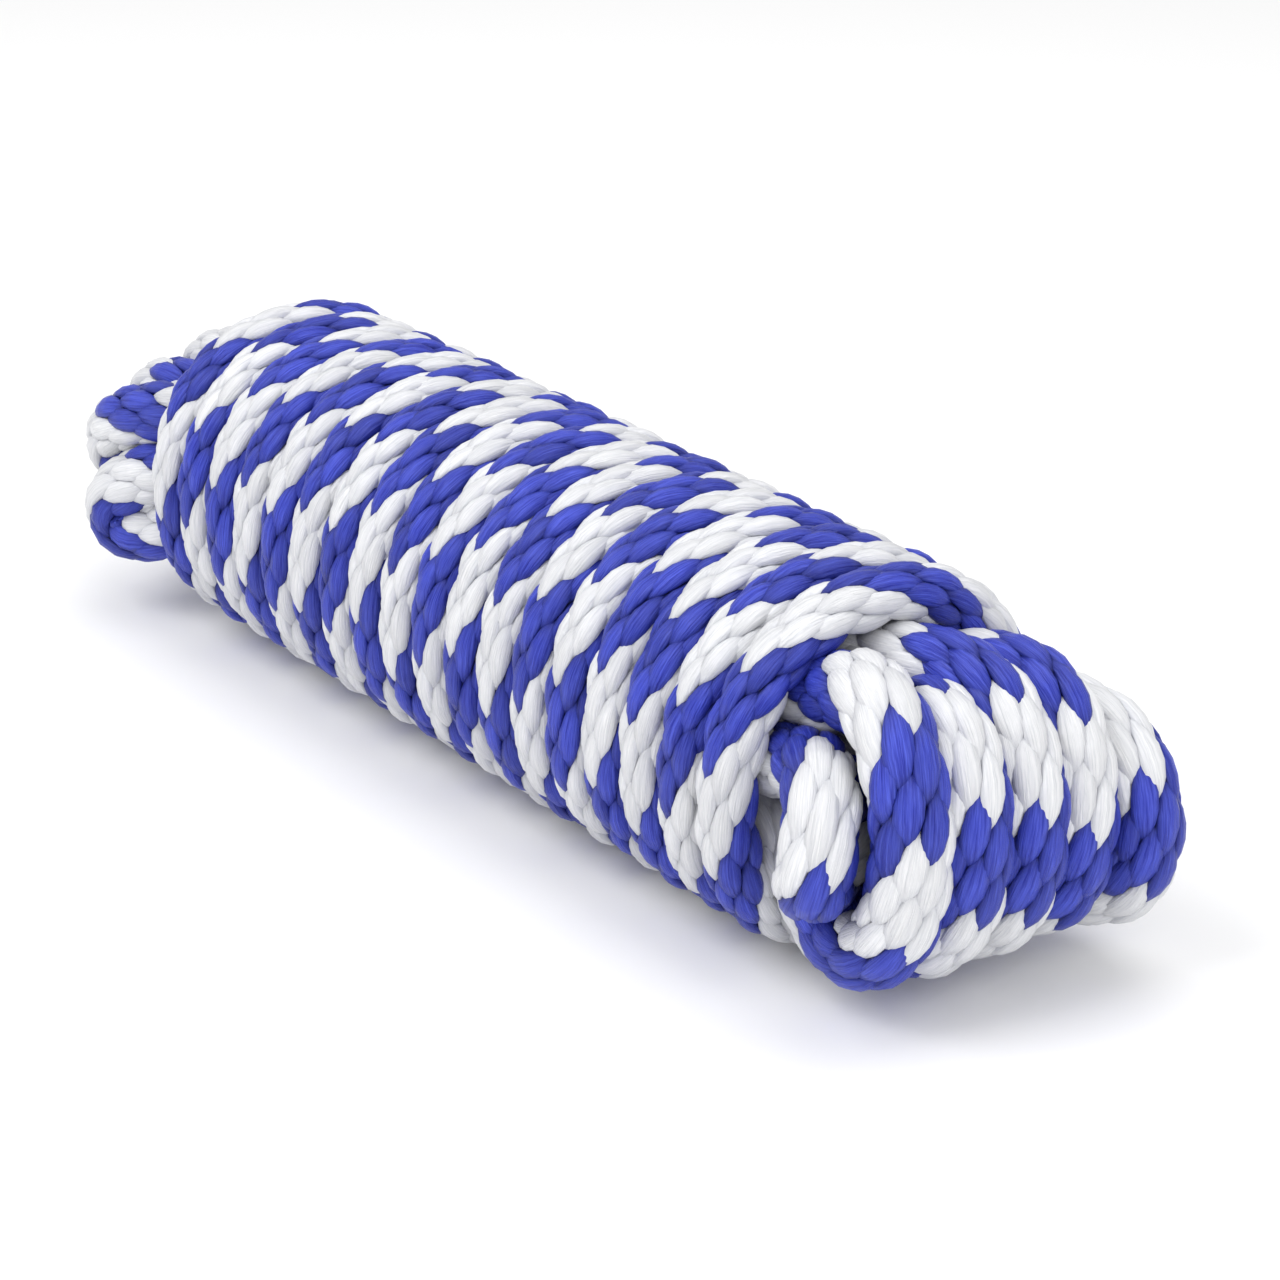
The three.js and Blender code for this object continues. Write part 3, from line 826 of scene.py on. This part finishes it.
class DOCKLINE_OT_winding(bpy.types.Operator):
    """Lay the stitches of the lead-in, the turns wound round the bundle and the tucked tail"""
    bl_idname = "dockline.winding"
    bl_label = "Winding"

    def execute(self, context):
        route = dict(MADE["route"])
        whole, q_all, t, out, q = winding_line(route["lead"], route["winding"], route["tail"])
        line, q0 = stitch_line("winding_line", whole, q_all, t, out)
        MADE["lines"] = [(whole, q_all, out, np.cross(t, out))]
        at = np.linspace(START, END, len(q))
        cuts = [math.ceil(q_all[0] + 1)] + [round(float(np.interp(k, at, q))) for k in SECTION_ENDS]
        cuts.append(math.floor(q_all[-1] - 1))
        names = ["lead_in"] + [f"winding_{i + 1}" for i in range(len(SECTION_ENDS) - 1)] + ["tail"]
        MADE["winding"] = []
        for i, name in enumerate(names):
            wales = OUTER_WALES if name.startswith("winding") else None
            for colour in ("blue", "white"):
                mesh = stitches(name, line, q0, cuts[i], cuts[i + 1] - cuts[i], colour, wales)
                MADE["winding"].append(join(f"{name}_{colour}", [mesh], MADE[colour]))
        bpy.data.objects.remove(line)
        return {"FINISHED"}


class DOCKLINE_OT_loops(bpy.types.Operator):
    """Lay the stitches of the loops at both ends"""
    bl_idname = "dockline.loops"
    bl_label = "Loops"

    def execute(self, context):
        route = dict(MADE["route"])
        MADE["loops"] = []
        front = [(f"front_{i + 1}", *each) for i, each in enumerate(zip(FRONT_SHIFT, FRONT_PLUMP))]
        rear = [(f"rear_{i + 1}", *each) for i, each in enumerate(zip(REAR_SHIFT, REAR_PLUMP))]
        for group, members in (("front_near", front[:3]), ("front_far", front[3:]), ("rear", rear)):
            found = {"blue": [], "white": []}
            for name, shift, plump in members:
                points, q, t, out = loop_line(route[name], shift)
                line, q0 = stitch_line(f"{name}_line", points, q, t, out)
                MADE["lines"].append((points, q, out, np.cross(t, out)))
                first = math.ceil(q[0] + 0.6)
                rows = math.floor(q[-1] - 1.2) - first
                for colour, meshes in found.items():
                    label = f"{name}_{colour}"
                    meshes.append(stitches(label, line, q0, first, rows, colour, plump=plump))
                bpy.data.objects.remove(line)
            for colour, meshes in found.items():
                MADE["loops"].append(join(f"{group}_{colour}", meshes, MADE[colour]))
        return {"FINISHED"}


def ring_mesh(name, rings, material):
    """A closed, smooth mesh through rings of the same number of points, with a flat face at each end."""
    sides = len(rings[0])
    faces = [(k * sides + i, k * sides + (i + 1) % sides, (k + 1) * sides + (i + 1) % sides, (k + 1) * sides + i)
             for k in range(len(rings) - 1) for i in range(sides)]
    faces += [tuple(range(sides))[::-1], tuple((len(rings) - 1) * sides + i for i in range(sides))]
    mesh = bpy.data.meshes.new(name)
    mesh.from_pydata([tuple(v) for ring in rings for v in ring], [], faces)
    mesh.polygons.foreach_set("use_smooth", [True] * len(mesh.polygons))
    mesh.update()
    mesh.materials.append(material)
    return mesh


def melted_end(name, centre, away):
    """A closed cap of melted fibre: a short skirt over the rope's end and a blunt, slightly uneven face."""
    away = away / np.linalg.norm(away)
    u = np.cross(away, [0.0, 0.0, 1.0]) if abs(away[2]) < 0.9 else np.cross(away, [0.0, 1.0, 0.0])
    u /= np.linalg.norm(u)
    v = np.cross(away, u)
    rings = []
    for k, (x, r) in enumerate(MELT_PROFILE):
        ring = []
        for a in (2 * math.pi * i / MELT_SIDES for i in range(MELT_SIDES)):
            lump = 1 + 0.03 * math.sin(3 * a + k) + 0.02 * math.sin(7 * a + 2 * k)
            ring.append(centre + LAY * (x * away + r * lump * (math.cos(a) * u + math.sin(a) * v)))
        rings.append(ring)
    return add_object(name, ring_mesh(name, rings, MADE["melt"]))


class DOCKLINE_OT_core(bpy.types.Operator):
    """Make the rope's body that the stitches lie on, and its melted ends"""
    bl_idname = "dockline.core"
    bl_label = "Rope Body"

    def execute(self, context):
        points = []
        for _, stretch in MADE["route"]:
            # a stretch's first point is the last one's end
            points += [v for v in even(stretch, BODY_STEP) if not points or np.linalg.norm(v - points[-1]) > 0.05]
        points = even(np.array(points), BODY_STEP)
        tangent, out = frames_along(points, np.array([0, 0, 1.0]), 0)
        side = np.cross(tangent, out)
        # the colour under a stitch follows the nearest line of stitches
        line_p, line_q, line_out, line_side = (np.concatenate([line[k] for line in MADE["lines"]]) for k in range(4))
        path = place(points)
        rings, shade = [], []
        for i, p in enumerate(points):
            near = int(np.argmin(((line_p - p) ** 2).sum(1)))
            ring = []
            for a in (2 * math.pi * k / BODY_SIDES for k in range(BODY_SIDES)):
                ray = math.cos(a) * out[i] + math.sin(a) * side[i]
                ring.append(path[i] + BODY_R * LAY * ray)
                turn = math.atan2(ray @ line_side[near], ray @ line_out[near]) / (2 * math.pi)
                shade.append(0.0 if (line_q[near] - PERIOD * turn) % PERIOD < PERIOD / 2 else 1.0)
            rings.append(ring)
        mesh = ring_mesh("rope_body", rings, MADE["core"])
        mesh.attributes.new("shade", "FLOAT", "POINT").data.foreach_set("value", shade)
        MADE["body"] = add_object("rope_body", mesh)
        MADE["path"] = path
        MADE["ends"] = [melted_end("sealed_end_near_lead", path[0], path[0] - path[2]),
                        melted_end("sealed_end_tail", path[-1], path[-1] - path[-3])]
        return {"FINISHED"}


class DOCKLINE_OT_declare(bpy.types.Operator):
    """Tie every piece to the frame"""
    bl_idname = "dockline.declare"
    bl_label = "Tie to Frame"

    def execute(self, context):
        body, others = MADE["body"], MADE["winding"] + MADE["loops"] + MADE["ends"]
        for obj in [body] + others:
            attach(obj, "root")
            "rope_white" if "white" in obj.name else "rope_blue"
        for obj, standing_for in zip(MADE["ends"], ("sealed_end_inner", "sealed_end_outer")):
            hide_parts(standing_for)
        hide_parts(*[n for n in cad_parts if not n.startswith("sealed_end")])
        return {"FINISHED"}


# ---- the stage: each light's name, place, size and watts
LIGHTS = (("key", (-0.15, -0.75, 0.95), 0.7, 7.0), ("fill", (0.95, -0.25, 0.55), 0.8, 4.5),
          ("top", (0.0, 0.3, 1.2), 1.0, 5.5))
LIT_SPOT = (0, 0, 0.03)
AMBIENT = 0.62                              # strength of the light from all round
FLOOR_HALF = 3.0
CAMERA_FROM = (44.814, -31.680, 22.323)     # in lays from the middle of the hank's axis
CAMERA_AIM = (-0.74180, 0.54803, -0.38652)
LENS = 95.71                                # mm, on a 36 mm sensor


def stand(name, data, where, aim):
    """A light or camera at a place, looking along aim with its top upwards."""
    obj = add_object(name, data)
    obj.matrix_world = Matrix.Translation(where) @ Vector(aim).to_track_quat("-Z", "Y").to_matrix().to_4x4()
    return obj


class DOCKLINE_OT_stage(bpy.types.Operator):
    """Add the pale floor, the soft lights and the camera"""
    bl_idname = "dockline.stage"
    bl_label = "Stage"

    def execute(self, context):
        scene = context.scene
        mesh = bpy.data.meshes.new("floor")
        s = FLOOR_HALF
        mesh.from_pydata([(-s, -s, 0), (s, -s, 0), (s, s, 0), (-s, s, 0)], [], [(0, 1, 2, 3)])
        material, _, shader = new_material("pale_floor", 0.9)
        shader.inputs["Base Color"].default_value = (0.9, 0.9, 0.9, 1)
        mesh.materials.append(material)
        add_object("floor", mesh)
        scene.world = bpy.data.worlds.new("studio")
        scene.world.use_nodes = True
        background = scene.world.node_tree.nodes["Background"]
        background.inputs[0].default_value = (1, 1, 1, 1)
        background.inputs[1].default_value = AMBIENT
        for name, where, size, energy in LIGHTS:
            data = bpy.data.lights.new(name, "AREA")
            data.energy, data.size = energy, size
            stand(name, data, where, Vector(LIT_SPOT) - Vector(where))
        data = bpy.data.cameras.new("camera")
        data.sensor_width, data.lens = 36.0, LENS
        data.clip_start, data.clip_end = 0.01, 20.0
        scene.camera = stand("camera", data, Vector(place(CAMERA_FROM)), CAMERA_AIM)
        scene.view_settings.view_transform = "Standard"
        return {"FINISHED"}


class DOCKLINE_PT_panel(bpy.types.Panel):
    """Lists the settings and the steps"""
    bl_label = "Dock Line"
    bl_space_type = "VIEW_3D"
    bl_region_type = "UI"
    bl_category = "Dock Line"

    def draw(self, context):
        c = context.scene.dock_line
        for name in ("wales", "crown", "stitch_depth", "overlap", "breadth", "slant", "blue", "white"):
            self.layout.prop(c, name)
        for kind in OPERATORS:
            self.layout.operator(kind.bl_idname)


OPERATORS = (DOCKLINE_OT_route, DOCKLINE_OT_winding, DOCKLINE_OT_loops, DOCKLINE_OT_core, DOCKLINE_OT_declare,
             DOCKLINE_OT_stage)
CLASSES = (DockLineSettings, *OPERATORS, DOCKLINE_PT_panel)


def register():
    for kind in CLASSES:
        bpy.utils.register_class(kind)
    bpy.types.Scene.dock_line = PointerProperty(type=DockLineSettings)


def unregister():
    del bpy.types.Scene.dock_line
    for kind in reversed(CLASSES):
        bpy.utils.unregister_class(kind)


def main():
    register()
    bpy.ops.dockline.stage()
    bpy.ops.dockline.route()
    bpy.ops.dockline.winding()
    bpy.ops.dockline.loops()
    bpy.ops.dockline.core()
    bpy.ops.dockline.declare()


if __name__ == "__main__":
    main()
